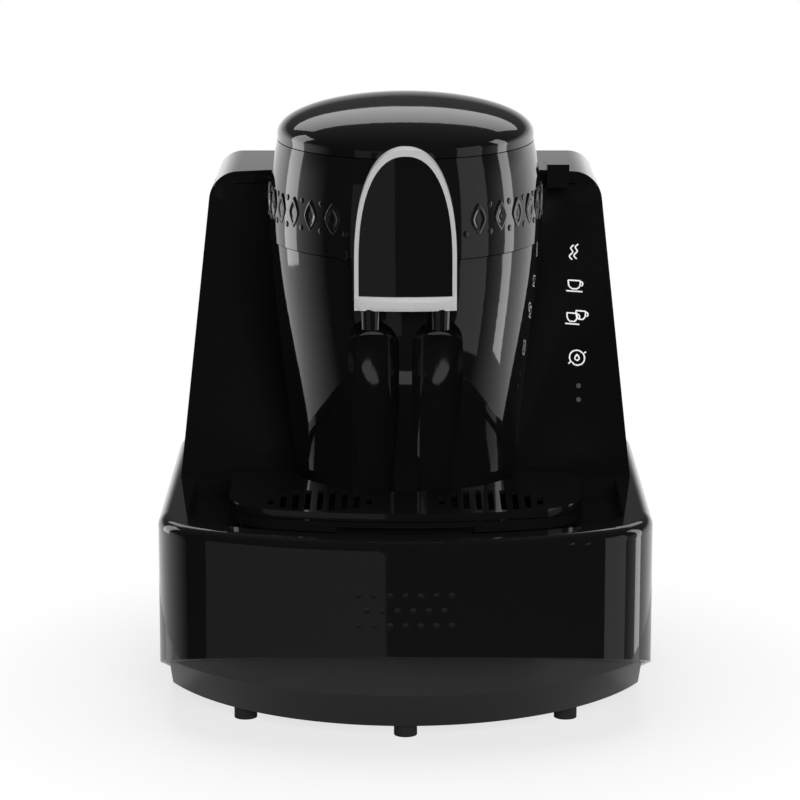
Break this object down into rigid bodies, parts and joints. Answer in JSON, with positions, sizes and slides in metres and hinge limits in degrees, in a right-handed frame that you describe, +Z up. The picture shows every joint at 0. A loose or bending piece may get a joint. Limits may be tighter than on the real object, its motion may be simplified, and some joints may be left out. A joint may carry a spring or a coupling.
{
  "type": "automatic turkish coffee maker",
  "caption": "Counter-top coffee maker for small cups: oval brewing head with hinged lid and spouts, drip tray, and lift-off rear water tank.",
  "frame": {"origin": "on the table under the middle of the machine", "axes": "+Z up, +X to the viewer's right, -Y towards the user (the front)"},
  "size_m": [0.256, 0.272, 0.3215],
  "materials": {
    "gloss_black": "high gloss moulded",
    "panel_black": "high gloss",
    "tray_black": "gloss",
    "grille_black": "gloss",
    "dark_plastic": "fine matt",
    "satin_chrome": "satin",
    "steel": "brushed",
    "aluminium": "plain",
    "rubber": "matt",
    "hose": "matt",
    "board": "matt",
    "smoke_tank": "smoked clear plastic"
  },
  "bodies": {
    "base": {"base_pan": "dark_plastic", "base_shell": "gloss_black", "feet": "rubber", "deck": "gloss_black", "column_shell": "gloss_black", "head_ring": "gloss_black", "head_roof": "dark_plastic", "lid_hinge_pin": "steel", "lid_hinge_bracket": "gloss_black", "spout_frame": "satin_chrome", "spout_panel": "panel_black", "spout_left": "panel_black", "spout_right": "panel_black", "brew_pot": "steel", "pot_heater": "aluminium", "drain_chamber": "dark_plastic", "drain_duct": "hose", "valve_solenoid": "aluminium", "rear_housing": "gloss_black", "wing_panel_left": "gloss_black", "wing_panel_right": "gloss_black", "control_board": "board", "tank_socket": "dark_plastic", "water_pump": "aluminium", "pump_mounts": "rubber", "power_board": "board", "board_posts": "dark_plastic", "power_parts": "dark_plastic", "cord_gland": "dark_plastic", "switch_case": "dark_plastic"},
    "lid": {"lid": "gloss_black", "lid_liner": "dark_plastic"},
    "tank": {"water_tank": "smoke_tank", "tank_valve": "dark_plastic", "tank_hinge_pin": "steel"},
    "tank_cover": {"tank_lid": "gloss_black"},
    "tray": {"drip_tray": "tray_black"},
    "grille": {"drip_grille": "grille_black"},
    "switch": {"power_switch": "dark_plastic"},
    "drain_valve": {"drain_stem": "steel", "drain_stem_cap": "dark_plastic", "drain_spring": "steel"}
  },
  "joints": [
    {"name": "lid_hinge", "type": "hinge", "parent": "base", "child": "lid", "pos_m": [0, 0.056, 0.3], "axis": [-1, 0, 0], "range_deg": [0, 95]},
    {"name": "tank_lift", "type": "slide", "parent": "base", "child": "tank", "axis": [0, 0.1392, 0.9903], "range_m": [0, 0.22]},
    {"name": "tank_cover_hinge", "type": "hinge", "parent": "tank", "child": "tank_cover", "pos_m": [0, 0.1306, 0.258], "axis": [-1, 0, 0], "range_deg": [0, 95]},
    {"name": "tray_slide", "type": "slide", "parent": "base", "child": "tray", "axis": [0, -0.8192, 0.5736], "range_m": [0, 0.14]},
    {"name": "grille_lift", "type": "slide", "parent": "tray", "child": "grille", "axis": [0, -0.8192, 0.5736], "range_m": [0, 0.03]},
    {"name": "power_switch_rock", "type": "hinge", "parent": "base", "child": "switch", "pos_m": [-0.06, 0.131, 0.035], "axis": [1, 0, 0], "range_deg": [-8, 8]},
    {"name": "drain_valve_lift", "type": "slide", "parent": "base", "child": "drain_valve", "axis": [0, 0, 1], "range_m": [0, 0.006], "stiffness_N_per_m": 300, "springref_m": -0.01, "deforming": ["drain_spring"]}
  ]
}
